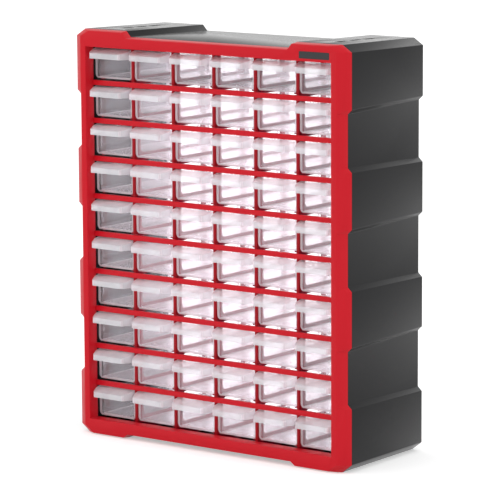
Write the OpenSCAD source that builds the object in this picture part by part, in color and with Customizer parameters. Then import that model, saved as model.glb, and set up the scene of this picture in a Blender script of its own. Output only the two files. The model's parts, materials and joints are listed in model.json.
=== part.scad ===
// Parts bin cabinet: an open-backed shell with stepped sides, a front frame with a grid of cells,
// column dividers with ledges, and clear drawers that slide out of the cells.
// X runs to the right, Y runs from the front to the back, Z runs up.
// The origin is the middle of the footprint, at the feet.

/* [Drawer grid] */
// Number of drawer columns, an even number
columns = 6; // [2:2:6]
// Number of drawer rows
rows = 10; // [3:1:10]
// Distance between neighbouring columns
column_pitch = 57.2; // [48:0.1:70]
// Distance between neighbouring rows
row_pitch = 43.2; // [38:0.1:56]
// Width of the upright bars between two cells
bar_w = 3.2; // [2:0.1:6]
// Height of the level bars between two cells
bar_h = 5.6; // [3:0.1:7]
// Depth of the level bars, from front to back
bar_d = 4; // [2.5:0.1:8]
// Depth of the upright bars, which stand behind the level bars
upright_d = 4; // [2:0.1:8]
// Distance from the front plane of the frame back to the level bars
bar_setback = 12; // [8:0.5:16]

/* [Front frame] */
// Width of the border at the left and right of the cells
side_border = 20; // [17:0.5:30]
// Height of the border under the cells
bottom_border = 17.7; // [15:0.1:30]
// Height of the border over the cells
top_border = 19.3; // [16:0.1:30]
// Free strip between the top cells and the top border
head_gap = 1.2; // [0.5:0.1:3]
// Width of the flat inner part of the side border
border_flat = 7; // [3:0.5:12]
// Width of the steep outer bevel of the side border
border_bevel = 4; // [2:0.5:6]
// How far the steep bevel starts behind the front plane
bevel_start = 5; // [2:0.5:8]
// Depth of the border, from the front plane to the shell
border_d = 10.6; // [9:0.1:11.5]
// Small bevel along the top and bottom edges of the border
edge_bevel = 1.4; // [0.5:0.1:3]
// How far the inner side walls reach back past the front of the level bars
side_lap = 2.2; // [1:0.1:4]
// Gap round each bar, to the border and to the bars behind it
bar_gap = 0.1; // [0.05:0.05:0.3]
// Gap round the block that plugs into the shell
seat_gap = 0.3; // [0.1:0.1:0.8]

/* [Shell] */
// Depth of the whole cabinet
cabinet_d = 150; // [120:1:200]
// Thickness of the shell at its back edge
shell_wall = 2.5; // [1.5:0.1:4]
// How much each side and the top draw in from the front to the back
draft = 2.9; // [1:0.1:4]
// Height of each wide band of the stepped sides
band_h = 61.4; // [50:0.1:66]
// How far the recessed bands lie behind the wide bands
recess_d = 5.2; // [2:0.1:8]
// Height of the slope between two bands
band_slope = 4.75; // [3:0.05:7]
// Number of drawer rows to each recessed band
rows_per_recess = 3; // [2:1:5]
// Width of the slanted corners, measured on the level
corner_w = 12; // [8:0.5:16]
// Height of the slanted corner at each foot
foot_corner_h = 9.4; // [6:0.1:14]
// Height of the slanted corner at each top pad
top_corner_h = 7.7; // [5:0.1:12]
// Width of the inward flange round the open back
flange_w = 8; // [5:0.5:12]
// Height of the hanging rail across the top of the open back
hanging_rail_h = 22; // [16:0.5:30]
// Radius of the two wall screw holes in the hanging rail
screw_hole_r = 2.75; // [2:0.05:4]
// Distance between the two wall screw holes
screw_spacing = 240; // [120:1:280]
// Distance from the rail's lower edge up to the screw holes
screw_rise = 9; // [6:0.5:12]

/* [Feet and pads] */
// Length of each foot, along the width
foot_w = 69; // [50:0.5:75]
// Length of each top pad, along the width
pad_w = 72; // [50:0.5:75]
// Height of the feet under the middle of the bottom
foot_h = 4.2; // [2:0.1:5]
// Height of the top pads over the middle of the top
pad_h = 6.6; // [3:0.1:9]
// Width of the slope at the inner end of a foot or pad
pad_slope = 6; // [3:0.5:9]
// Length of each stacking recess in a top pad
stack_slot_l = 17; // [8:0.5:22]
// Width of each stacking recess in a top pad
stack_slot_w = 6; // [3:0.5:9]
// Depth of each stacking recess in a top pad
stack_slot_depth = 1.2; // [0.5:0.1:2]
// Distance between two stacking recesses
stack_slot_pitch = 25; // [23:0.5:30]
// Number of stacking recesses in each top pad
stack_slots = 3; // [1:1:4]
// Distance from the front plane to the middle of the first stacking recess
stack_slot_start = 49; // [30:0.5:60]
// Distance from the cabinet's side to the row of stacking recesses
stack_slot_inset = 41; // [25:0.5:50]

/* [Column dividers] */
// Thickness of the divider plates
divider_t = 2; // [1.2:0.1:3]
// Width of the solid strip at the front and the back of a divider
divider_strip = 8.5; // [5:0.5:14]
// Height of the rail left between two windows of a divider
divider_rail_h = 9; // [6:0.5:14]
// Corner radius of the divider windows
window_r = 5; // [2:0.5:8]
// How far the rail reaches under the ledge
rail_drop = 3; // [2:0.1:4]
// Thickness of the ledges that carry the drawers
ledge_t = 1.6; // [1:0.1:2.5]
// How far a ledge reaches under the drawer
ledge_hold = 3; // [1.5:0.1:5]
// Height of the stop at the back end of a ledge
stop_h = 8; // [4:0.5:14]
// Thickness of the stop at the back end of a ledge
stop_t = 2.2; // [1.5:0.1:3.5]

/* [Drawers] */
// Gap between a drawer's front pane and the sides of its cell
side_clearance = 0.6; // [0.4:0.1:1.5]
// Gap between a drawer's front pane and the bottom of its cell
bottom_clearance = 2; // [1:0.1:4]
// Gap between a drawer's front pane and the top of its cell
top_clearance = 1.4; // [0.8:0.1:3]
// Distance from the front plane of the frame back to the pane
pane_setback = 17.3; // [14:0.1:20]
// Thickness of the front pane
pane_t = 1.6; // [1:0.1:2.5]
// Radius of the lower corners of the front pane
pane_r = 5; // [2:0.5:8]
// How far the tray's sides lie behind the pane's side edges
tray_inset = 2.9; // [1.5:0.1:5]
// Height of the tray's side walls
tray_h = 30; // [20:0.5:31]
// Thickness of the tray's walls
tray_wall = 1.3; // [0.9:0.1:2]
// Thickness of the tray's floor
tray_floor = 1.4; // [0.9:0.1:2.5]
// Radius of the tray's upright corners at the back
tray_r = 4; // [2:0.5:8]
// Running gap between a drawer and the ledge or stop that carries it
running_gap = 0.3; // [0.2:0.1:0.6]
// Height of the catch on the tray's back wall over the side walls
catch_h = 9; // [8:0.1:9.5]
// Width of the catch on the tray's back wall
catch_w = 18; // [8:0.5:30]

/* [Drawer pulls] */
// Height of the pull's front lip
lip_h = 6.2; // [4:0.1:9]
// Drop from the pane's top edge to the top of the lip
lip_drop = 4.4; // [2:0.1:7]
// Width lost at each end from the pane to the lip
lip_taper = 5; // [2:0.1:8]
// Length of the tapered part of the pull
taper_l = 11; // [6:0.5:13]
// Radius of the pull's front corners
lip_r = 3; // [2:0.5:5]
// Wall thickness of the pull
lip_wall = 1.3; // [0.9:0.1:2]

/* [Hidden] */
$fn = 32;
// Overlap of pieces that are fused, and reach of cutters past a surface
eps = 0.5;

// Clear size of one cell and of the whole field of cells
cell_w = column_pitch - bar_w;
cell_h = row_pitch - bar_h;
field_w = columns * column_pitch - bar_w;
field_h = rows * row_pitch - bar_h;

// Outer size and the wide and recessed half widths at the shell's front
cabinet_w = field_w + 2 * side_border;
cabinet_h = bottom_border + field_h + head_gap + top_border;
wide_x = cabinet_w / 2;
recesses = floor(rows / rows_per_recess);
recess_h = (cabinet_h - foot_corner_h - top_corner_h - (recesses + 1) * band_h) / recesses
    - 2 * band_slope;

// Inner space of the shell, set by its back edge: half widths in the wide and the recessed bands,
// and the levels of its floor and roof between the feet and pads
room_wide_x = wide_x - draft - shell_wall;
room_x = room_wide_x - recess_d;
room_low = foot_h + shell_wall;
room_top = cabinet_h - pad_h - draft - shell_wall;

// Depths, measured back from the front plane of the frame
bar_back = bar_setback + bar_d;
side_wall_back = bar_setback + side_lap;
upright_front = bar_back + bar_gap;
divider_front = upright_front + upright_d;
flange_y = cabinet_d - shell_wall;
stop_y = flange_y - stop_t;
tray_back = stop_y - running_gap;

// Drawer sizes, from the cell
pane_w = cell_w - 2 * side_clearance;
pane_top = cell_h - top_clearance;
tray_w = pane_w - 2 * tray_inset;
ledge_top = bottom_clearance - running_gap;
ledge_w = (column_pitch - divider_t - tray_w) / 2 + ledge_hold;

function column_x(c) = (c - (columns + 1) / 2) * column_pitch;
function row_z(r) = bottom_border + (rows - r) * row_pitch;
function two_digits(n) = n < 10 ? str("0", n) : str(n);
function drawer_name(r, c) = str("drawer_r", two_digits(r), "_c", c);
function pair_name(c) = str("drawer_pair_r", two_digits(rows), "_c", c, "_c", c + 1);

// ---- Outlines and helpers ----

// Right half of the cabinet's outline, from the bottom to the top. wide and narrow are the half
// widths of the two kinds of band, level draws in the bottom and top edges, top_z is the height
// of the pads, and shorten takes that much off each end of a wide band.
function half_outline(wide, narrow, level, top_z, shorten) = concat(
    [
        [wide_x - foot_w - pad_slope, foot_h + level],
        [wide_x - foot_w, level],
        [wide - corner_w, level],
        [wide, foot_corner_h]
    ],
    [
        for (i = [0:recesses - 1])
            let (z = foot_corner_h + (i + 1) * band_h + i * (recess_h + 2 * band_slope))
                each [
                    [wide, z - shorten],
                    [narrow, z + band_slope - shorten],
                    [narrow, z + band_slope + recess_h + shorten],
                    [wide, z + 2 * band_slope + recess_h + shorten]
                ]
    ],
    [
        [wide, top_z - top_corner_h],
        [wide - corner_w, top_z - level],
        [wide_x - pad_w, top_z - level],
        [wide_x - pad_w - pad_slope, top_z - pad_h - level]
    ]
);

// The whole outline: the right half, then its mirror image from the top down
function outline(wide, narrow, level, top_z, shorten) =
    let (half = half_outline(wide, narrow, level, top_z, shorten), n = len(half))
        concat(half, [for (i = [n - 1:-1:0]) [-half[i][0], half[i][1]]]);

// The outline that continues the step from outline b to outline a by a further part t of it
function run_on(a, b, t) = [for (i = [0:len(a) - 1]) a[i] + t * (a[i] - b[i])];

// A solid through outlines with equal numbers of points, each at its own depth. It runs on past both
// ends and is cut off square there, so that each end is one flat face.
module loft(depths, outlines) {
    n = len(outlines[0]);
    last = len(outlines) - 1;
    levels = concat(depths[0] - eps, depths, depths[last] + eps);
    rings = concat(
        [run_on(outlines[0], outlines[1], eps / (depths[1] - depths[0]))],
        outlines,
        [run_on(outlines[last], outlines[last - 1], eps / (depths[last] - depths[last - 1]))]
    );
    intersection() {
        polyhedron(
            points = [for (s = [0:last + 2]) for (p = rings[s]) [p[0], levels[s], p[1]]],
            faces = concat(
                [[for (i = [n - 1:-1:0]) i]],
                [[for (i = [0:n - 1]) (last + 2) * n + i]],
                [
                    for (s = [0:last + 1])
                        for (i = [0:n - 1])
                            let (j = (i + 1) % n)
                                each [
                                    [s * n + i, s * n + j, (s + 1) * n + j],
                                    [s * n + i, (s + 1) * n + j, (s + 1) * n + i]
                                ]
                ]
            )
        );
        box([-cabinet_w, depths[0], -cabinet_h], [cabinet_w, depths[last], 2 * cabinet_h]);
    }
}

// Extrudes a shape drawn in X and Z from depth y0 back to depth y1
module upright(y0, y1) {
    translate([0, y1, 0]) rotate([90, 0, 0]) linear_extrude(y1 - y0) children();
}

// Extrudes a shape drawn in Y and Z across the width, centred on X
module sideways(width) {
    rotate([90, 0, 90]) linear_extrude(width, center = true) children();
}

// A box between two corners
module box(low, high) {
    translate(low) cube(high - low);
}

// A rectangle with four round corners
module round_rect(low, high, r) {
    translate([low[0] + r, low[1]]) square([high[0] - low[0] - 2 * r, high[1] - low[1]]);
    translate([low[0], low[1] + r]) square([high[0] - low[0], high[1] - low[1] - 2 * r]);
    for (x = [low[0] + r, high[0] - r])
        for (y = [low[1] + r, high[1] - r])
            translate([x, y]) circle(r);
}

// Puts a piece drawn from the front plane into the cabinet's frame
module from_front() {
    translate([0, -cabinet_d / 2, 0]) children();
}

// ---- Shell ----

// Inner space of the shell: it follows the bands, feet and pads, straight from front to back
module shell_room() {
    polygon(outline(room_wide_x, room_x, shell_wall, cabinet_h - draft, draft));
}

// Rectangle that fits the narrowest part of the room, drawn in by a margin
module room_core(margin) {
    translate([-room_x + margin, room_low + margin])
        square([2 * (room_x - margin), room_top - room_low - 2 * margin]);
}

// Recesses in the top pads, measured down from the pads' back edge
module stacking_recesses() {
    for (side = [-1, 1])
        for (i = [0:stack_slots - 1])
            translate([
                side * (wide_x - stack_slot_inset),
                stack_slot_start + i * stack_slot_pitch,
                cabinet_h
            ])
                cube([stack_slot_w, stack_slot_l, 2 * (stack_slot_depth + draft)], center = true);
}

module hanging_rail() {
    difference() {
        box([-room_x - eps, flange_y, room_top - hanging_rail_h], [room_x + eps, cabinet_d, room_top + eps]);
        for (x = [-screw_spacing / 2, screw_spacing / 2])
            translate([x, flange_y - eps, room_top - hanging_rail_h + screw_rise])
                rotate([-90, 0, 0]) cylinder(r = screw_hole_r, h = shell_wall + 2 * eps);
    }
}

module shell() {
    color([0.16, 0.16, 0.17])
        from_front() {
            difference() {
                loft(
                    [border_d, cabinet_d],
                    [
                        outline(wide_x, wide_x - recess_d, 0, cabinet_h, 0),
                        outline(wide_x - draft, wide_x - draft - recess_d, 0, cabinet_h - draft, draft)
                    ]
                );
                upright(border_d - eps, flange_y) shell_room();
                upright(flange_y - eps, cabinet_d + eps) room_core(flange_w);
                stacking_recesses();
            }
            hanging_rail();
        }
}

// ---- Front frame ----

// Sloped border with the outline of the shell
module frame_border() {
    flat_x = field_w / 2 + border_flat;
    bevel_x = wide_x - border_bevel;
    loft(
        [0, bevel_start, border_d],
        [
            outline(flat_x, flat_x, edge_bevel, cabinet_h, 0),
            outline(bevel_x, bevel_x - recess_d, edge_bevel / 2, cabinet_h, 0),
            outline(wide_x, wide_x - recess_d, 0, cabinet_h, 0)
        ]
    );
}

// Opening of the border, down to the front of the bars
module frame_window() {
    box(
        [-field_w / 2, -eps, bottom_border],
        [field_w / 2, bar_setback, bottom_border + field_h + head_gap]
    );
}

// Opening of the border at the bars, which leaves the strips over and under the cells
module field_opening() {
    box(
        [-field_w / 2, bar_setback - eps, bottom_border],
        [field_w / 2, bar_back + eps, bottom_border + field_h]
    );
}

// Block that plugs into the shell. Over and under the cells it is as deep as the level bars.
module plug() {
    upright(border_d - eps, side_wall_back) room_core(seat_gap);
    box(
        [-field_w / 2, border_d - eps, room_low + seat_gap],
        [field_w / 2, bar_back, room_top - seat_gap]
    );
}

// Level bars, each between the border's side walls and under a row of cells
module level_bars() {
    for (r = [1:rows - 1])
        box(
            [-field_w / 2 + bar_gap, bar_setback, row_z(r) - bar_h],
            [field_w / 2 - bar_gap, bar_back, row_z(r)]
        );
}

// Upright bars, each from the shell's floor to its roof and in front of a divider
module upright_bars() {
    for (c = [1:columns - 1])
        translate([column_x(c) + column_pitch / 2, 0, 0])
            box(
                [-bar_w / 2, upright_front, room_low + seat_gap],
                [bar_w / 2, divider_front, room_top - seat_gap]
            );
}

module front_frame() {
    color([0.86, 0.16, 0.21])
        from_front() {
            difference() {
                union() {
                    frame_border();
                    plug();
                }
                frame_window();
                field_opening();
            }
            level_bars();
            upright_bars();
        }
}

// ---- Column dividers ----

module divider_windows() {
    for (r = [1:rows]) {
        rail_low = row_z(r) + ledge_top - ledge_t - rail_drop;
        round_rect(
            [divider_front + divider_strip, rail_low + divider_rail_h],
            [flange_y - divider_strip, min(rail_low + row_pitch, room_top - rail_drop)],
            window_r
        );
    }
}

// Ledge and back stop on one side of a divider: side is 1 for the right and -1 for the left
module ledge(side) {
    reach = divider_t / 2 + ledge_w;
    near = min(0, side * reach);
    far = max(0, side * reach);
    box([near, divider_front, ledge_top - ledge_t], [far, flange_y, ledge_top]);
    box([near, stop_y, ledge_top - ledge_t], [far, flange_y, ledge_top + stop_h]);
}

// Divider at the left of a column. One that stands over the feet reaches their floor and the pads,
// and the outermost ones reach forward to the frame's side walls.
module divider(index) {
    x = column_x(index) - column_pitch / 2;
    front = index == 1 || index > columns ? side_wall_back : divider_front;
    low = abs(x) > wide_x - foot_w ? shell_wall : room_low;
    top = abs(x) > wide_x - pad_w ? room_top + pad_h : room_top;
    translate([x, 0, 0]) {
        sideways(divider_t)
            difference() {
                translate([front, low]) square([flange_y - front, top - low]);
                divider_windows();
            }
        for (r = [1:rows])
            translate([0, 0, row_z(r)]) {
                if (index > 1) ledge(-1);
                if (index <= columns) ledge(1);
            }
    }
}

module column_dividers() {
    color([0.2, 0.2, 0.21])
        from_front()
            for (index = [1:columns + 1]) divider(index);
}

// ---- Drawers ----

// Front pane with round lower corners
module pane() {
    upright(pane_setback, pane_setback + pane_t) {
        translate([-pane_w / 2, bottom_clearance + pane_r])
            square([pane_w, pane_top - bottom_clearance - pane_r]);
        translate([-pane_w / 2 + pane_r, bottom_clearance]) square([pane_w - 2 * pane_r, pane_r + eps]);
        for (side = [-1, 1])
            translate([side * (pane_w / 2 - pane_r), bottom_clearance + pane_r]) circle(pane_r);
    }
}

// Plan of the tray, drawn in by a margin, with its round corners at the back
module tray_plan(margin) {
    x = tray_w / 2 - margin;
    r = tray_r - margin;
    front = pane_setback + (margin > 0 ? pane_t : 0);
    back = tray_back - margin;
    translate([-x, front]) square([2 * x, back - r - front]);
    translate([-x + r, front]) square([2 * (x - r), back - front]);
    for (side = [-1, 1])
        translate([side * (x - r), back - r]) circle(r);
}

module tray() {
    difference() {
        translate([0, 0, bottom_clearance]) linear_extrude(tray_h) tray_plan(0);
        translate([0, 0, bottom_clearance + tray_floor]) linear_extrude(tray_h) tray_plan(tray_wall);
    }
    box(
        [-catch_w / 2, tray_back - tray_wall, bottom_clearance + tray_h - eps],
        [catch_w / 2, tray_back, bottom_clearance + tray_h + catch_h]
    );
}

// Plan of the pull, drawn in by a margin: straight at the pane, tapered to the lip, with round corners
module pull_plan(margin) {
    x = pane_w / 2 - margin;
    lip_x = x - lip_taper;
    r = lip_r - margin;
    lean = atan(lip_taper / taper_l);
    tangent = r * tan((90 - lean) / 2);
    for (side = [-1, 1])
        mirror([side < 0 ? 1 : 0, 0]) {
            polygon([
                [-eps, margin],
                [lip_x - tangent, margin],
                [lip_x + tangent * sin(lean), margin + tangent * cos(lean)],
                [x, margin + taper_l],
                [x, pane_setback + eps],
                [-eps, pane_setback + eps]
            ]);
            translate([lip_x - tangent, margin + r]) circle(r);
        }
}

// Side view of the pull, drawn in by a margin: the lip in front and the roof up to the pane
module pull_side(margin) {
    low = pane_top - lip_drop - lip_h - margin;
    polygon([
        [0, low],
        [0, pane_top - lip_drop - margin],
        [pane_setback + eps, pane_top - margin],
        [pane_setback + eps, low]
    ]);
}

module pull_solid(margin) {
    intersection() {
        linear_extrude(row_pitch) pull_plan(margin);
        sideways(pane_w + eps) pull_side(margin);
    }
}

module pull() {
    difference() {
        pull_solid(0);
        pull_solid(lip_wall);
    }
}

module drawer(r, c) {
    color([0.93, 0.91, 0.96, 0.5])
        from_front()
            translate([column_x(c), 0, row_z(r)]) {
                pane();
                tray();
                pull();
            }
}

// Two neighbouring drawers of the bottom row, as two separate solids
module drawer_pair(c) {
    drawer(rows, c);
    drawer(rows, c + 1);
}

shell();
front_frame();
column_dividers();
for (r = [1:rows - 1]) for (c = [1:columns]) drawer(r, c);
for (c = [1:2:columns - 1]) drawer_pair(c);
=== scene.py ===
import json
import logging
import math
from dataclasses import dataclass, field
from enum import Enum
from typing import Iterable, Sequence

import bmesh
import bpy
from mathutils import Matrix, Vector

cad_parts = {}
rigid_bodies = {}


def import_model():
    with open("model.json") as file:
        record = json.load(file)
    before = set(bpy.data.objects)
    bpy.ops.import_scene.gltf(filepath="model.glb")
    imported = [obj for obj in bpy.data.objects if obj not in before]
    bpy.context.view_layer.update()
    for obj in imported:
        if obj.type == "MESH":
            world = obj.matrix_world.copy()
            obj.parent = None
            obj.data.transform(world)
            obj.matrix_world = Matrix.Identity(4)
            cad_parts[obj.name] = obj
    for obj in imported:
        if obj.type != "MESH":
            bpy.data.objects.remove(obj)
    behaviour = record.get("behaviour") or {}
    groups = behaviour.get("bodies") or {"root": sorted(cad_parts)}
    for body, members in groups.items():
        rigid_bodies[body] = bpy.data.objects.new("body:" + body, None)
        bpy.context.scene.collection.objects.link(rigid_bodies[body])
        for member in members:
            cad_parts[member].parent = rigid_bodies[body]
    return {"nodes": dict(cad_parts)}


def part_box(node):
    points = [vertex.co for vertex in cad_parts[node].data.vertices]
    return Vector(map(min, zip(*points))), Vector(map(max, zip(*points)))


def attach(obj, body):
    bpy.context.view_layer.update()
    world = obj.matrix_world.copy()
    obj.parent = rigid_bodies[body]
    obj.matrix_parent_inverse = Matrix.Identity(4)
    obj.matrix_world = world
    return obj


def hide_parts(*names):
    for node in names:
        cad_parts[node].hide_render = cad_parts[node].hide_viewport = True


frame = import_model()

LOG = logging.getLogger("parts_bin_cabinet")
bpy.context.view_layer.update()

Colour = tuple[float, float, float]
Point = tuple[float, float, float]
Levels = tuple[float, float]

MM = 0.001
# The CAD grid: how many columns and rows it has, their pitches and the middle of the lowest row,
# the last three in millimetres.
COLUMNS, ROWS = 6, 10
COLUMN_PITCH, ROW_PITCH, LOWEST_ROW = 57.2, 43.2, 36.5
# Vertices closer than WELD are one, and those closer than ON_PLANE to a plane lie in it, in metres.
WELD, ON_PLANE = 2e-6, 1e-7

PLASTIC_IOR = 1.5
NOISE_MIDDLE = 0.5
WHITE = (1.0, 1.0, 1.0, 1.0)


# ---- Node trees ----


class Value:
    """A socket of a shader tree that takes part in Python expressions."""

    def __init__(self, nodes: "Nodes", socket: bpy.types.NodeSocket) -> None:
        """Keeps the socket and the tree that it belongs to.

        Args:
            nodes: the maker of the tree's nodes.
            socket: the output that carries the value.
        """
        self.nodes = nodes
        self.socket = socket

    def _math(self, operation: str, *operands: "Value | float", clamp: bool = False) -> "Value":
        """Adds a Math node.

        Args:
            operation: the node's operation.
            operands: what goes into its sockets, in order.
            clamp: whether the result is held between 0 and 1.

        Returns:
            The node's result.
        """
        settings = {"operation": operation, "use_clamp": clamp}
        node = self.nodes.make("ShaderNodeMath", settings, dict(enumerate(operands)))
        return Value(self.nodes, node.outputs[0])

    def __add__(self, other: "Value | float") -> "Value":
        """This value plus another."""
        return self._math("ADD", self, other)

    __radd__ = __add__

    def __sub__(self, other: "Value | float") -> "Value":
        """This value less another."""
        return self._math("SUBTRACT", self, other)

    def __rsub__(self, other: "Value | float") -> "Value":
        """Another value less this one."""
        return self._math("SUBTRACT", other, self)

    def __mul__(self, other: "Value | float") -> "Value":
        """This value times another."""
        return self._math("MULTIPLY", self, other)

    __rmul__ = __mul__

    def __truediv__(self, other: "Value | float") -> "Value":
        """This value divided by another."""
        return self._math("DIVIDE", self, other)

    def __pow__(self, other: "Value | float") -> "Value":
        """This value to a power."""
        return self._math("POWER", self, other)

    def factor(self, swing: float) -> "Value":
        """Noise turned into a factor about 1, with its ends the given swing apart."""
        return (1.0 - swing / 2) + self * swing

    def clamped(self) -> "Value":
        """This value held between 0 and 1."""
        return self._math("ADD", self, 0.0, clamp=True)

    def between(self, low: float, high: float) -> "Value":
        """How far this value has gone from low to high, smoothed at both ends.

        Args:
            low: the value that gives 0.
            high: the value that gives 1.

        Returns:
            A mask from 0 to 1.
        """
        node = self.nodes.make(
            "ShaderNodeMapRange",
            {"interpolation_type": "SMOOTHSTEP"},
            {"Value": self, "From Min": low, "From Max": high},
        )
        return Value(self.nodes, node.outputs["Result"])


Input = Value | bpy.types.NodeSocket | float | int | bool | str | Sequence[float] | bpy.types.ID


class Nodes:
    """Makes and links the nodes of one tree."""

    def __init__(self, tree: bpy.types.NodeTree) -> None:
        """Starts on an empty tree.

        Args:
            tree: the tree, whose nodes are cleared.
        """
        self.tree = tree
        tree.nodes.clear()

    def make(
        self,
        kind: str,
        settings: dict[str, object] | None = None,
        sockets: dict[str | int, Input] | None = None,
    ) -> bpy.types.Node:
        """Adds a node.

        Args:
            kind: the node's type name.
            settings: its properties, set first.
            sockets: a value or a link for each input, by name or number.

        Returns:
            The new node.
        """
        node = self.tree.nodes.new(kind)
        for name, value in (settings or {}).items():
            setattr(node, name, value)
        for key, value in (sockets or {}).items():
            socket = node.inputs[key]
            if isinstance(value, Value):
                self.tree.links.new(value.socket, socket)
            elif isinstance(value, bpy.types.NodeSocket):
                self.tree.links.new(value, socket)
            else:
                socket.default_value = value
        return node

    def value(self, node: bpy.types.Node, output: str | int = 0) -> Value:
        """An output of a node as a value for expressions."""
        return Value(self, node.outputs[output])

    def noise(self, place: Input, scale: float, detail: float = 2.0) -> Value:
        """Adds a Noise Texture node.

        Args:
            place: where the noise is read.
            scale: how fine it is.
            detail: how many finer layers it has.

        Returns:
            The noise, which swings about NOISE_MIDDLE.
        """
        sockets = {"Vector": place, "Scale": scale, "Detail": detail}
        return self.value(self.make("ShaderNodeTexNoise", None, sockets))

    def looked_at(self) -> Value:
        """Adds a Light Path node.

        Returns:
            1 for a ray that shows what it meets, straight, mirrored or through clear plastic, and
            0 for a ray that only lights.
        """
        rays = self.make("ShaderNodeLightPath")
        straight, mirrored, through = (
            self.value(rays, kind)
            for kind in ("Is Camera Ray", "Is Glossy Ray", "Is Transmission Ray")
        )
        return (straight + mirrored + through).clamped()


# ---- Finishes ----


@dataclass(frozen=True)
class MouldedPlastic:
    """Opaque injection-moulded plastic with fine mould texture and slight marks of use.

    grain is the height of the texture in millimetres, and swell that of the slow waves under it,
    as a multiple of the grain. A scale says how fine a pattern is, and a pair of levels from where
    to where a pattern fades in.
    """

    name: str
    colour: Colour
    worn_colour: Colour
    roughness: float
    gloss: float = 0.5
    grain: float = 0.04
    grain_scale: float = 2600.0
    swell: float = 2.0
    mottle: float = 0.05
    mottle_scale: float = 9.0
    scuffs: float = 0.06
    scuff_scale: Point = (420.0, 900.0, 30.0)
    scuff_levels: Levels = (0.66, 0.8)
    scuffed_areas: Levels = (0.45, 0.7)
    scuff_roughness: float = 0.5
    roughness_spread: float = 0.10
    sheen: float = 0.0
    sheen_roughness: float = 0.3

    def material(self) -> bpy.types.Material:
        """Builds the finish.

        Returns:
            The material.
        """
        made = bpy.data.materials.new(self.name)
        made.use_nodes = True
        n = Nodes(made.node_tree)
        place = n.make("ShaderNodeTexCoord").outputs["Object"]
        cloud = n.noise(place, self.mottle_scale, detail=3.0)
        pores = n.noise(place, self.grain_scale)
        streaks = n.make("ShaderNodeMapping", None, {"Vector": place, "Scale": self.scuff_scale})
        drawn = n.noise(streaks.outputs[0], 1.0)
        scuffed = cloud.between(*self.scuffed_areas)
        scuff = drawn.between(*self.scuff_levels) * scuffed * self.scuffs
        swing, pitting = cloud - NOISE_MIDDLE, pores - NOISE_MIDDLE
        tone = 1.0 + swing * (2.0 * self.mottle)
        shaded = n.make(
            "ShaderNodeVectorMath", {"operation": "SCALE"}, {0: self.colour, "Scale": tone}
        )
        colour = n.make(
            "ShaderNodeMix",
            {"data_type": "RGBA"},
            {0: scuff.clamped(), 6: shaded.outputs[0], 7: (*self.worn_colour, 1.0)},
        )
        spread = self.roughness_spread
        rough = self.roughness + swing * spread + pitting * spread + scuff * self.scuff_roughness
        height = pores + swing * self.swell
        bump = n.make(
            "ShaderNodeBump", None, {"Strength": 1.0, "Distance": self.grain * MM, "Height": height}
        )
        surface = n.make(
            "ShaderNodeBsdfPrincipled",
            None,
            {
                "Base Color": colour.outputs[2],
                "Roughness": rough.clamped(),
                "Normal": bump.outputs[0],
                "IOR": PLASTIC_IOR,
                "Specular IOR Level": self.gloss,
                "Sheen Weight": self.sheen,
                "Sheen Roughness": self.sheen_roughness,
            },
        )
        n.make("ShaderNodeOutputMaterial", None, {"Surface": surface.outputs[0]})
        return made


@dataclass(frozen=True)
class ClearPlastic:
    """Clear polystyrene: it lets the view through, and mirrors more the flatter it is looked at.

    haze is the share of the view that its surface hides, and frost the share of the light through
    it that its inside scatters. Each varies by its swing over the piece. waves is the height of
    its slow waves in millimetres.
    """

    name: str
    tint: Colour
    body: Colour
    haze: float
    haze_swing: float = 0.5
    frost: float = 0.0
    frost_swing: float = 0.2
    roughness: float = 0.06
    straight_mirror: float = 0.03
    mirror_power: float = 5.0
    waves: float = 0.02
    flow_scale: float = 60.0
    dust: float = 0.004
    dust_scale: float = 900.0
    dust_levels: Levels = (0.62, 0.75)
    dust_roughness: float = 0.04

    def material(self) -> bpy.types.Material:
        """Builds the finish.

        Returns:
            The material.
        """
        made = bpy.data.materials.new(self.name)
        made.use_nodes = True
        n = Nodes(made.node_tree)
        place = n.make("ShaderNodeTexCoord").outputs["Object"]
        flow = n.noise(place, self.flow_scale)
        specks = n.noise(place, self.dust_scale)
        bump = n.make(
            "ShaderNodeBump", None, {"Strength": 1.0, "Distance": self.waves * MM, "Height": flow}
        )
        facing = n.value(n.make("ShaderNodeLayerWeight", None, {"Blend": 0.5}), "Facing")
        mirror = facing**self.mirror_power * (1.0 - self.straight_mirror) + self.straight_mirror
        dusty = specks.between(*self.dust_levels) * self.dust
        cloud = self.haze * flow.factor(self.haze_swing) + dusty
        cover = (mirror + cloud).clamped()
        clear = n.make("ShaderNodeBsdfTransparent", None, {"Color": (*self.tint, 1.0)})
        satin = n.make("ShaderNodeBsdfTranslucent", None, {"Color": (*self.tint, 1.0)})
        frosted = (self.frost * flow.factor(self.frost_swing)).clamped()
        seen = n.make(
            "ShaderNodeMixShader", None, {0: frosted, 1: clear.outputs[0], 2: satin.outputs[0]}
        )
        solid = n.make(
            "ShaderNodeBsdfPrincipled",
            None,
            {
                "Base Color": (*self.body, 1.0),
                "Metallic": mirror / cover,
                "Roughness": (self.roughness + specks * self.dust_roughness).clamped(),
                "Normal": bump.outputs[0],
                "IOR": PLASTIC_IOR,
            },
        )
        surface = n.make(
            "ShaderNodeMixShader", None, {0: cover, 1: seen.outputs[0], 2: solid.outputs[0]}
        )
        n.make("ShaderNodeOutputMaterial", None, {"Surface": surface.outputs[0]})
        return made


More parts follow.
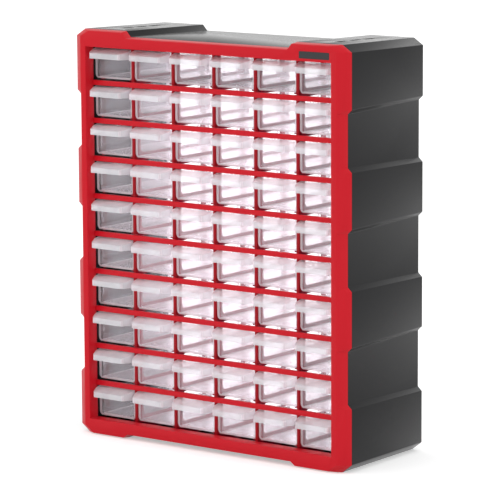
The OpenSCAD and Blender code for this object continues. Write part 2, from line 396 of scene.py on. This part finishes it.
class Finishes(Enum):
    """The finishes of the cabinet."""

    SHELL = MouldedPlastic(
        "Black shell plastic",
        colour=(0.010, 0.010, 0.011),
        worn_colour=(0.05, 0.05, 0.05),
        roughness=0.2,
        gloss=0.18,
        grain=0.025,
        sheen=0.2,
    )
    FRAME = MouldedPlastic(
        "Red frame plastic",
        colour=(0.64, 0.009, 0.020),
        worn_colour=(0.68, 0.06, 0.07),
        roughness=0.36,
        gloss=0.17,
        grain=0.02,
        mottle=0.03,
    )
    # The frame's red darkened on the upright bars: painted shade for the recess between the panes,
    # not a different plastic.
    UPRIGHT_PAINTED_SHADE = MouldedPlastic(
        "Red upright bar plastic darkened as painted shade",
        colour=(0.37, 0.006, 0.013),
        worn_colour=(0.5, 0.05, 0.06),
        roughness=0.42,
        gloss=0.15,
        grain=0.02,
    )
    # Red divider plastic, darkened below the frame's red as painted shade for the inside of the
    # cells.
    DIVIDER_PAINTED_SHADE = MouldedPlastic(
        "Red divider plastic darkened as painted shade",
        colour=(0.30, 0.007, 0.030),
        worn_colour=(0.34, 0.05, 0.06),
        roughness=0.42,
        gloss=0.15,
        grain=0.03,
    )
    DRAWER_PULL = ClearPlastic(
        "Satin pull plastic",
        tint=(0.996, 0.994, 0.998),
        body=(0.97, 0.97, 1.0),
        haze=0.34,
        roughness=0.12,
    )
    DRAWER_PANE = ClearPlastic(
        "Clear pane plastic",
        tint=(0.996, 0.992, 0.996),
        body=(0.94, 0.91, 0.99),
        haze=0.018,
        frost=0.06,
    )
    DRAWER_TRAY = ClearPlastic(
        "Satin tray plastic",
        tint=(0.997, 0.994, 0.993),
        body=(0.94, 0.91, 0.97),
        haze=0.035,
        frost=0.35,
        roughness=0.25,
    )
    # The narrow edges are whiter and less clear than the walls: painted highlight for the light
    # that glows along the edges of clear plastic.
    DRAWER_EDGE_PAINTED_HIGHLIGHT = ClearPlastic(
        "Clear plastic at narrow edges whitened as painted highlight",
        tint=(0.85, 0.79, 0.84),
        body=(1.0, 0.95, 0.98),
        haze=0.44,
        roughness=0.2,
    )
    LABEL = MouldedPlastic(
        "Bare label film",
        colour=(0.016, 0.016, 0.018),
        worn_colour=(0.05, 0.05, 0.05),
        roughness=0.3,
        grain=0.004,
        scuffs=0.03,
    )

    def material(self) -> bpy.types.Material:
        """The finish's material, built at its first use.

        Returns:
            The one material of this finish.
        """
        found = bpy.data.materials.get(self.value.name)
        return found or self.value.material()


# ---- Mesh helpers ----


class Axis(Enum):
    """An axis of the cabinet."""

    X = (1.0, 0.0, 0.0)
    Y = (0.0, 1.0, 0.0)
    Z = (0.0, 0.0, 1.0)


Cut = tuple[Axis, float]


def grid_planes() -> tuple[Cut, ...]:
    """Planes through the middles of the grid's columns and rows, as cuts for a mesh."""
    middle = (COLUMNS - 1) / 2
    across = tuple((Axis.X, (column - middle) * COLUMN_PITCH * MM) for column in range(COLUMNS))
    return across + tuple((Axis.Z, (LOWEST_ROW + ROW_PITCH * row) * MM) for row in range(ROWS))


def merged(
    source: bpy.types.Mesh, cuts: Iterable[Cut] = (), flat: float = 0.5
) -> bmesh.types.BMesh:
    """Joins a CAD mesh's loose triangles into flat faces.

    Args:
        source: the CAD node's mesh, which stays as it is.
        cuts: planes, each through the holes of a face, that split it into faces without holes.
        flat: the angle in degrees under which two faces count as one.

    Returns:
        The joined mesh, for the caller to free.
    """
    bm = bmesh.new()
    bm.from_mesh(source)
    bmesh.ops.remove_doubles(bm, verts=bm.verts, dist=WELD)
    for axis, place in cuts:
        normal = Vector(axis.value)
        split = bmesh.ops.bisect_plane(
            bm,
            geom=bm.verts[:] + bm.edges[:] + bm.faces[:],
            dist=ON_PLANE,
            plane_co=normal * place,
            plane_no=normal,
        )
        for part in split["geom_cut"]:
            if isinstance(part, bmesh.types.BMEdge):
                part.seam = True
    bmesh.ops.dissolve_limit(
        bm,
        angle_limit=math.radians(flat),
        use_dissolve_boundaries=False,
        verts=bm.verts,
        edges=bm.edges,
        delimit={"SEAM"},
    )
    return bm


def new_object(name: str, bm: bmesh.types.BMesh, *finishes: Finishes) -> bpy.types.Object:
    """Makes an object at the origin from a mesh that is in place.

    Args:
        name: the piece's name.
        bm: the mesh, which is freed.
        finishes: the finishes of its material slots.

    Returns:
        The object.
    """
    mesh = bpy.data.meshes.new(name)
    bm.to_mesh(mesh)
    bm.free()
    for finish in finishes:
        mesh.materials.append(finish.material())
    made = bpy.data.objects.new(name, mesh)
    bpy.context.scene.collection.objects.link(made)
    return made


def finished(obj: bpy.types.Object) -> bpy.types.Object:
    """Turns an object with modifiers into a plain one.

    Args:
        obj: the object, whose modifiers are taken off.

    Returns:
        The same object with its finished mesh.
    """
    bpy.context.view_layer.update()
    graph = bpy.context.evaluated_depsgraph_get()
    mesh = bpy.data.meshes.new_from_object(
        obj.evaluated_get(graph), preserve_all_data_layers=True, depsgraph=graph
    )
    obj.modifiers.clear()
    obj.data = mesh
    return obj


def soften_edges(obj: bpy.types.Object, width: float, steps: int = 2, sharp: float = 28.0) -> None:
    """Rounds the sharp edges and shades the piece smooth between flat faces.

    Args:
        obj: the piece.
        width: the width of the rounding, in metres.
        steps: how many faces make up the rounding.
        sharp: the angle in degrees from which an edge is rounded.
    """
    obj.data.shade_smooth()
    bevel = obj.modifiers.new("Soft edges", "BEVEL")
    bevel.width = width
    bevel.segments = steps
    bevel.limit_method = "ANGLE"
    bevel.angle_limit = math.radians(sharp)
    bevel.harden_normals = True
    bevel.use_clamp_overlap = True
    bevel.miter_outer = "MITER_ARC"


# ---- Pieces ----


@dataclass
class MouldedPart:
    """A CAD node that is shown as one merged moulding with soft edges."""

    node: str
    name: str
    body: str
    slot: str
    finish: Finishes
    edge: float
    edge_steps: int = 2
    cuts: tuple[Cut, ...] = ()

    def mesh(self) -> bmesh.types.BMesh:
        """The node's merged mesh."""
        return merged(frame["nodes"][self.node].data, self.cuts)

    def carve(self, obj: bpy.types.Object) -> None:
        """Changes the piece's mesh before its edges are softened: not at all by itself."""

    def second_finish(self, centre: Vector) -> Finishes | None:
        """The finish of a face that differs from the rest, by the face's centre."""
        return None

    def dress(self, mesh: bpy.types.Mesh) -> None:
        """Gives each face its finish.

        Args:
            mesh: the piece's mesh.
        """
        mesh.materials.clear()
        mesh.materials.append(self.finish.material())
        for polygon in mesh.polygons:
            other = self.second_finish(polygon.center)
            if other and mesh.materials.find(other.value.name) < 0:
                mesh.materials.append(other.material())
            polygon.material_index = mesh.materials.find(other.value.name) if other else 0

    def build(self) -> bpy.types.Object:
        """Builds the piece in place of its node.

        Returns:
            The finished piece.
        """
        obj = new_object(self.name, self.mesh(), self.finish)
        self.carve(obj)
        self.dress(obj.data)
        soften_edges(obj, self.edge, self.edge_steps)
        finished(obj)
        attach(obj, self.body)
        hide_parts(self.node)
        LOG.info("%s: %d faces", obj.name, len(obj.data.polygons))
        return obj


@dataclass
class Shell(MouldedPart):
    """The black outer moulding with stepped sides.

    Its cuts run through the middle, the wall screws and the outermost stacking slots.
    """

    node: str = "shell"
    name: str = "outer_shell"
    body: str = "cabinet"
    slot: str = "shell_plastic"
    finish: Finishes = Finishes.SHELL
    edge: float = 0.5 * MM
    cuts: tuple[Cut, ...] = tuple((Axis.X, x * MM) for x in (0, -120, 120, -149, 149))


@dataclass
class Dividers(MouldedPart):
    """The upright plates behind the grid, with the ledges that carry the drawers.

    Faces further from the middle than outermost are those of the two outermost plates.
    """

    node: str = "column_dividers"
    name: str = "divider_plates"
    body: str = "cabinet"
    slot: str = "divider_plastic"
    # The plates' red is darkened as painted shade.
    finish: Finishes = Finishes.DIVIDER_PAINTED_SHADE
    edge: float = 0.25 * MM
    edge_steps: int = 1
    cuts: tuple[Cut, ...] = ((Axis.Y, 11.25 * MM),)
    outermost: float = 165 * MM

    def second_finish(self, centre: Vector) -> Finishes | None:
        """The two outermost plates are black, as the shell beside them."""
        return Finishes.SHELL if abs(centre.x) > self.outermost else None


@dataclass
class LabelPlate:
    """The bare label in a shallow pocket of the frame's top border.

    The pocket's outline lies gap outside the plate's, and the plate's face lies recess behind the
    frame's.
    """

    centre_x: float = 147.8 * MM
    centre_z: float = 452.2 * MM
    width: float = 39.8 * MM
    height: float = 7.6 * MM
    pocket: float = 0.3 * MM
    gap: float = 0.15 * MM
    recess: float = 0.05 * MM
    edge: float = 0.06 * MM
    corner: float = 0.8 * MM
    corner_steps: int = 4

    def outline(self, margin: float) -> list[tuple[float, float]]:
        """The plate's outline with round corners.

        Args:
            margin: how far the outline lies outside the plate.

        Returns:
            Points in X and Z, once round.
        """
        points = []
        for quarter in range(4):
            turn = math.pi / 2 * quarter
            side_x = 1 if quarter in (0, 3) else -1
            side_z = 1 if quarter in (0, 1) else -1
            x = self.centre_x + side_x * (self.width / 2 - self.corner)
            z = self.centre_z + side_z * (self.height / 2 - self.corner)
            for step in range(self.corner_steps + 1):
                a = turn + math.pi / 2 * step / self.corner_steps
                r = self.corner + margin
                points.append((x + r * math.cos(a), z + r * math.sin(a)))
        return points

    def slab(self, name: str, margin: float, front: float, back: float) -> bpy.types.Object:
        """A flat slab with the plate's outline.

        Args:
            name: the object's name.
            margin: how far its outline lies outside the plate.
            front: depth of its front face.
            back: depth of its back face.

        Returns:
            The slab.
        """
        bm = bmesh.new()
        ring = self.outline(margin)
        near = [bm.verts.new((x, front, z)) for x, z in ring]
        far = [bm.verts.new((x, back, z)) for x, z in ring]
        bm.faces.new(near)
        bm.faces.new(list(reversed(far)))
        for i in range(len(ring)):
            j = (i + 1) % len(ring)
            bm.faces.new((near[j], near[i], far[i], far[j]))
        bmesh.ops.recalc_face_normals(bm, faces=bm.faces)
        return new_object(name, bm, Finishes.LABEL)

    def build(self, front: float) -> bpy.types.Object:
        """Builds the plate.

        Args:
            front: depth of the frame's front plane.

        Returns:
            The finished plate.
        """
        plate = self.slab("label_plate", 0.0, front + self.recess, front + self.pocket)
        soften_edges(plate, self.edge)
        finished(plate)
        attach(plate, "cabinet")
        LOG.info("%s: %d faces", plate.name, len(plate.data.polygons))
        return plate


@dataclass
class FrontFrame(MouldedPart):
    """The red front moulding: a sloped border round the grid of bars.

    window gives half the opening's width and the heights of its bottom and top. bars gives depths
    behind the frame's face: where the level bars start, where the upright ones start, and where
    both end. bar_gap is the space round each bar in the CAD node, bar_reach how far a bar is run
    past it, and slack how closely a vertex has to lie in a place to count. Faces less than inset
    inside the window belong to the border.
    """

    node: str = "front_frame"
    name: str = "red_front_frame"
    body: str = "cabinet"
    slot: str = "frame_plastic"
    finish: Finishes = Finishes.FRAME
    edge: float = 0.45 * MM
    cuts: tuple[Cut, ...] = grid_planes()
    label: LabelPlate = field(default_factory=LabelPlate)
    window: tuple[float, float, float] = (170 * MM, 17.7 * MM, 445.3 * MM)
    bars: tuple[float, float, float] = (12.0 * MM, 16.1 * MM, 20.1 * MM)
    bar_gap: float = 0.1 * MM
    bar_reach: float = 0.3 * MM
    slack: float = 0.02 * MM
    inset: float = 1.0 * MM

    def join_bars(self, mesh: bpy.types.Mesh) -> None:
        """Runs the bars into the border and into each other, as in one moulding.

        Args:
            mesh: the frame's mesh.
        """
        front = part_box(self.node)[0].y
        half, low, high = self.window
        level_front, upright_front, back = self.bars
        step = self.bar_gap + self.bar_reach
        for vert in mesh.vertices:
            depth = vert.co.y - front
            if not level_front - self.slack < depth < back + self.slack:
                continue
            if abs(abs(vert.co.x) - (half - self.bar_gap)) < self.slack:
                vert.co.x += math.copysign(step, vert.co.x)
            if abs(vert.co.z - (low + self.bar_gap)) < self.slack:
                vert.co.z -= step
            if abs(vert.co.z - (high - self.bar_gap)) < self.slack:
                vert.co.z += step
            if abs(depth - upright_front) < self.slack:
                vert.co.y -= step

    def second_finish(self, centre: Vector) -> Finishes | None:
        """The darker red of the upright bars: painted shade for the recess that they lie in.

        Args:
            centre: the face's centre.

        Returns:
            The bars' finish, painted shade, for a face inside the window from the upright bars'
            front on.
        """
        half, low, high = self.window
        _, upright_front, _ = self.bars
        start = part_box(self.node)[0].y + upright_front - self.bar_gap - 2 * self.bar_reach
        across = abs(centre.x) < half - self.inset
        inside = across and low + self.inset < centre.z < high - self.inset
        return Finishes.UPRIGHT_PAINTED_SHADE if inside and centre.y > start else None

    def carve(self, obj: bpy.types.Object) -> None:
        """Cuts the label's pocket, and then runs the bars together.

        Args:
            obj: the frame.
        """
        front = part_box(self.node)[0].y
        pocket = self.label.slab("pocket", self.label.gap, front - MM, front + self.label.pocket)
        cut = obj.modifiers.new("Pocket", "BOOLEAN")
        cut.operation = "DIFFERENCE"
        cut.solver = "EXACT"
        cut.object = pocket
        finished(obj)
        bpy.data.objects.remove(pocket)
        self.join_bars(obj.data)

    def build(self) -> bpy.types.Object:
        """Builds the frame, and the label in its pocket.

        Returns:
            The finished frame.
        """
        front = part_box(self.node)[0].y
        obj = super().build()
        self.label.build(front)
        return obj


@dataclass
class Drawers:
    """The clear drawers: one moulding, set into the grid row by row.

    pane_front is the depth of the pane's face behind the drawer's foremost point, and rim and
    low_rim the widths of the pane's border at its sides and its foot. A face whose normal leans
    further to the side than side_lean belongs to a side wall.
    """

    first: str = "drawer_r01_c1"
    columns: int = COLUMNS
    rows: int = ROWS
    edge: float = 0.35 * MM
    wall: float = 1.7 * MM
    rim: float = 2.0 * MM
    low_rim: float = 2.0 * MM
    pane_front: float = 17.3 * MM
    pane_depth: float = 1.6 * MM
    side_lean: float = 0.7
    slack: float = 0.1 * MM

    def pitch(self) -> tuple[float, float]:
        """Distances between neighbouring columns and rows, from the CAD nodes."""
        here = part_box(self.first)[0]
        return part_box("drawer_r01_c2")[0].x - here.x, here.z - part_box("drawer_r02_c1")[0].z

    def pattern(self) -> bpy.types.Object:
        """Builds the first drawer, with marks on its narrow faces, its tray and its pull.

        Returns:
            The drawer that the others are copied from.
        """
        low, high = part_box(self.first)
        cuts = (
            (Axis.X, (low.x + high.x) / 2),
            (Axis.X, low.x + self.rim),
            (Axis.X, high.x - self.rim),
            (Axis.Z, low.z + self.low_rim),
        )
        obj = new_object("drawer_pattern", merged(frame["nodes"][self.first].data, cuts))
        soften_edges(obj, self.edge)
        finished(obj)
        mesh = obj.data
        bm = bmesh.new()
        bm.from_mesh(mesh)
        marks = {
            "narrow": self.narrow_faces(bm),
            "tray": self.tray_faces(bm),
            "pull": self.pull_faces(bm),
        }
        bm.free()
        for name, values in marks.items():
            mesh.attributes.new(name, "BOOLEAN", "FACE").data.foreach_set("value", values)
        return obj

    def narrow_faces(self, bm: bmesh.types.BMesh) -> list[bool]:
        """Finds the faces of the pane's rim, and those no wider than a wall's thickness.

        Args:
            bm: the drawer's mesh.

        Returns:
            One mark for each face.
        """
        low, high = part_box(self.first)
        near = low.y + self.pane_front - self.slack
        far = low.y + self.pane_front + self.pane_depth + self.slack
        marks = []
        for face in bm.faces:
            at = face.calc_center_median()
            area = face.calc_area()
            longest = max(edge.calc_length() for edge in face.edges)
            side = min(at.x - low.x, high.x - at.x) < self.rim
            rim = near < at.y < far and (side or at.z < low.z + self.low_rim)
            marks.append(rim or area / longest < self.wall)
        return marks

    def tray_faces(self, bm: bmesh.types.BMesh) -> list[bool]:
        """Finds the satin faces behind the pane: all but the clear side walls.

        Args:
            bm: the drawer's mesh.

        Returns:
            One mark for each face.
        """
        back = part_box(self.first)[0].y + self.pane_front + self.pane_depth
        return [
            face.calc_center_median().y > back + self.slack
            and abs(face.normal.x) < self.side_lean
            for face in bm.faces
        ]

    def pull_faces(self, bm: bmesh.types.BMesh) -> list[bool]:
        """Finds the faces of the hood and the lip, in front of the pane.

        Args:
            bm: the drawer's mesh.

        Returns:
            One mark for each face.
        """
        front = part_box(self.first)[0].y + self.pane_front
        return [face.calc_center_median().y < front - self.slack for face in bm.faces]

    def tree(self) -> bpy.types.NodeTree:
        """Builds the node tree that sets drawers side by side into a row.

        Returns:
            The tree, with named inputs for its sizes and finishes.
        """
        tree = bpy.data.node_groups.new("Drawers of a row", "GeometryNodeTree")
        ports = tree.interface
        ports.new_socket("Geometry", in_out="OUTPUT", socket_type="NodeSocketGeometry")
        kinds = {
            "Drawer": "Geometry",
            "Count": "Int",
            "Column Pitch": "Float",
            "First Place": "Vector",
        }
        kinds |= {f"{part} Finish": "Material" for part in ("Pane", "Tray", "Pull", "Edge")}
        for name, kind in kinds.items():
            ports.new_socket(name, in_out="INPUT", socket_type="NodeSocket" + kind)
        n = Nodes(tree)
        given = n.make("NodeGroupInput").outputs
        step = n.make("ShaderNodeCombineXYZ", None, {"X": given["Column Pitch"]})
        places = n.make(
            "GeometryNodeMeshLine",
            {"mode": "OFFSET"},
            {
                "Count": given["Count"],
                "Start Location": given["First Place"],
                "Offset": step.outputs[0],
            },
        )
        copies = n.make(
            "GeometryNodeInstanceOnPoints",
            None,
            {"Points": places.outputs[0], "Instance": given["Drawer"]},
        )
        real = n.make("GeometryNodeRealizeInstances", None, {"Geometry": copies.outputs[0]})
        dressed = n.make(
            "GeometryNodeSetMaterial",
            None,
            {"Geometry": real.outputs[0], "Material": given["Pane Finish"]},
        )
        finishes = {"tray": "Tray Finish", "pull": "Pull Finish", "narrow": "Edge Finish"}
        for name, finish in finishes.items():
            mark = n.make(
                "GeometryNodeInputNamedAttribute", {"data_type": "BOOLEAN"}, {"Name": name}
            )
            dressed = n.make(
                "GeometryNodeSetMaterial",
                None,
                {
                    "Geometry": dressed.outputs[0],
                    "Selection": mark.outputs["Attribute"],
                    "Material": given[finish],
                },
            )
        n.make("NodeGroupOutput", None, {0: dressed.outputs[0]})
        return tree

    def place(
        self,
        pattern: bpy.types.Object,
        tree: bpy.types.NodeTree,
        node: str,
        row: int,
        column: int,
        count: int,
    ) -> bpy.types.Object:
        """Builds the drawers of one CAD node.

        Args:
            pattern: the first drawer.
            tree: the node tree that repeats it.
            node: the CAD node that they stand for.
            row: the row, counted from the top.
            column: the first column, counted from the left.
            count: how many drawers the node has.

        Returns:
            The finished piece.
        """
        pitch_x, pitch_z = self.pitch()
        obj = bpy.data.objects.new("clear_" + node, pattern.data)
        bpy.context.scene.collection.objects.link(obj)
        repeat = obj.modifiers.new("Drawers of a row", "NODES")
        repeat.node_group = tree
        given = {
            "Count": count,
            "Column Pitch": pitch_x,
            "First Place": ((column - 1) * pitch_x, 0.0, (1 - row) * pitch_z),
            "Pane Finish": Finishes.DRAWER_PANE.material(),
            "Tray Finish": Finishes.DRAWER_TRAY.material(),
            "Pull Finish": Finishes.DRAWER_PULL.material(),
            # The edge finish is whitened as painted highlight.
            "Edge Finish": Finishes.DRAWER_EDGE_PAINTED_HIGHLIGHT.material(),
        }
        for item in tree.interface.items_tree:
            if item.in_out == "INPUT" and item.name in given:
                repeat[item.identifier] = given[item.name]
        finished(obj)
        # The clear drawers cast no shadow, so that light reaches the inside.
        obj.visible_shadow = False
        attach(obj, node + "_body")
        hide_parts(node)
        return obj

    def build(self) -> list[bpy.types.Object]:
        """Builds every drawer in place of its node.

        Returns:
            The finished pieces.
        """
        pattern = self.pattern()
        tree = self.tree()
        made = []
        for row in range(1, self.rows):
            for column in range(1, self.columns + 1):
                node = f"drawer_r{row:02d}_c{column}"
                made.append(self.place(pattern, tree, node, row, column, 1))
        for column in range(1, self.columns, 2):
            node = f"drawer_pair_r{self.rows:02d}_c{column}_c{column + 1}"
            made.append(self.place(pattern, tree, node, self.rows, column, 2))
        LOG.info("drawers: %d pieces of %d faces each", len(made), len(pattern.data.polygons))
        bpy.data.objects.remove(pattern)
        return made


# ---- Studio ----


@dataclass(frozen=True)
class CameraStand:
    """Where the camera stands and how it looks at the cabinet.

    The angles are in degrees, lens and sensor in millimetres and reach in metres.
    """

    place: Point = (2.08879, -2.75381, 0.77343)
    azimuth: float = 37.12
    elevation: float = 9.11
    roll: float = -0.28
    lens: float = 224.39
    sensor: float = 36.0
    reach: float = 50.0

    def build(self) -> bpy.types.Object:
        """Builds the camera and makes it the scene's own.

        Returns:
            The camera.
        """
        az, el, roll = (math.radians(a) for a in (self.azimuth, self.elevation, self.roll))
        ahead = Vector((-math.sin(az) * math.cos(el), math.cos(az) * math.cos(el), -math.sin(el)))
        level = Vector((math.cos(az), math.sin(az), 0.0))
        up = level.cross(ahead)
        right = level * math.cos(roll) + up * math.sin(roll)
        top = up * math.cos(roll) - level * math.sin(roll)
        data = bpy.data.cameras.new("Camera")
        data.lens = self.lens
        data.sensor_width = self.sensor
        data.clip_end = self.reach
        camera = bpy.data.objects.new("Camera", data)
        turn = Matrix((right, top, -ahead)).transposed().to_4x4()
        camera.matrix_world = Matrix.Translation(self.place) @ turn
        bpy.context.scene.collection.objects.link(camera)
        bpy.context.scene.camera = camera
        return camera


@dataclass(frozen=True)
class Lamp:
    """A soft rectangular lamp that points at a place.

    lights, where given, is the start of the names of the only pieces that the lamp lights.
    """

    name: str
    place: Point
    aim: Point
    size: tuple[float, float]
    watts: float
    colour: Colour = (1.0, 1.0, 1.0)
    lights: str = ""

    def light_only(self, lamp: bpy.types.Object, pieces: Iterable[bpy.types.Object]) -> None:
        """Links the lamp to the pieces that it is for.

        Args:
            lamp: the lamp.
            pieces: the only objects that it lights.
        """
        chosen = bpy.data.collections.new(self.name + " lights")
        for piece in pieces:
            chosen.objects.link(piece)
        lamp.light_linking.receiver_collection = chosen

    def build(self) -> bpy.types.Object:
        """Builds the lamp.

        Returns:
            The lamp.
        """
        data = bpy.data.lights.new(self.name, "AREA")
        data.shape = "RECTANGLE"
        data.size, data.size_y = self.size
        data.energy = self.watts
        data.color = self.colour
        lamp = bpy.data.objects.new(self.name, data)
        lamp.location = self.place
        ahead = Vector(self.aim) - Vector(self.place)
        lamp.rotation_euler = ahead.to_track_quat("-Z", "Y").to_euler()
        bpy.context.scene.collection.objects.link(lamp)
        if self.lights:
            lamp.visible_camera = False
            pieces = [obj for obj in bpy.data.objects if obj.name.startswith(self.lights)]
            self.light_only(lamp, pieces)
        return lamp


@dataclass(frozen=True)
class Studio:
    """White studio: a pale floor, a white surround and soft lamps.

    fill is the surround's strength as light, and floor_glow how much the floor adds of its own
    where it is looked at. clear_bounces is how many clear surfaces a ray can pass.
    """

    floor_size: float = 12.0
    floor_drop: float = 0.0001
    floor_white: float = 0.82
    floor_glow: float = 0.42
    fill: float = 0.95
    clear_bounces: int = 48
    # The back lamp lights the clear drawers alone, above the plain level of the other lamps, and
    # washes out those that stand open. With it lower or gone, the clear finishes want setting anew.
    lamps: tuple[Lamp, ...] = (
        Lamp("Key lamp", place=(-1.3, -2.6, 2.3), aim=(0.0, 0.0, 0.25), size=(1.6, 1.6), watts=8.0),
        Lamp("Side lamp", place=(3.0, 0.6, 1.2), aim=(0.1, 0.0, 0.25), size=(0.5, 1.8), watts=4.0),
        Lamp(
            "Back lamp",
            place=(-0.15, 0.55, 0.3),
            aim=(-0.15, 0.0, 0.25),
            size=(1.2, 0.8),
            watts=10.0,
            lights="clear_",
        ),
    )

    def surround(self) -> None:
        """Makes the world: white where it is seen or mirrored, and softer as light."""
        world = bpy.data.worlds.new("White surround")
        world.use_nodes = True
        n = Nodes(world.node_tree)
        seen = n.looked_at()
        light = n.make("ShaderNodeBackground", None, {"Color": WHITE, "Strength": self.fill})
        white = n.make("ShaderNodeBackground", None, {"Color": WHITE, "Strength": 1.0})
        mixed = n.make(
            "ShaderNodeMixShader", None, {0: seen, 1: light.outputs[0], 2: white.outputs[0]}
        )
        n.make("ShaderNodeOutputWorld", None, {"Surface": mixed.outputs[0]})
        bpy.context.scene.world = world

    def floor_material(self) -> bpy.types.Material:
        """The floor's finish: matt white that keeps the cabinet's soft shadow.

        Returns:
            The material.
        """
        made = bpy.data.materials.new("White studio floor")
        made.use_nodes = True
        n = Nodes(made.node_tree)
        seen = n.looked_at()
        matt = n.make("ShaderNodeBsdfDiffuse", None, {"Color": (*[self.floor_white] * 3, 1.0)})
        glow = n.make("ShaderNodeEmission", None, {"Strength": seen * self.floor_glow})
        both = n.make("ShaderNodeAddShader", None, {0: matt.outputs[0], 1: glow.outputs[0]})
        n.make("ShaderNodeOutputMaterial", None, {"Surface": both.outputs[0]})
        return made

    def floor(self) -> bpy.types.Object:
        """Builds the floor under the feet.

        Returns:
            The floor.
        """
        bm = bmesh.new()
        bmesh.ops.create_grid(bm, x_segments=2, y_segments=2, size=self.floor_size / 2)
        bmesh.ops.translate(bm, verts=bm.verts, vec=(0.0, 0.0, -self.floor_drop))
        floor = new_object("studio_floor", bm)
        floor.data.materials.append(self.floor_material())
        return floor

    def build(self) -> None:
        """Builds the surround, the floor and the lamps."""
        self.surround()
        self.floor()
        for lamp in self.lamps:
            lamp.build()
        scene = bpy.context.scene
        scene.view_settings.view_transform = "Standard"
        scene.cycles.transparent_max_bounces = self.clear_bounces


def main() -> None:
    """Builds the studio and every piece of the cabinet."""
    logging.basicConfig(level=logging.INFO, format="%(name)s: %(message)s")
    CameraStand().build()
    for part in (Shell(), FrontFrame(), Dividers()):
        part.build()
    Drawers().build()
    Studio().build()


if __name__ == "__main__":
    main()
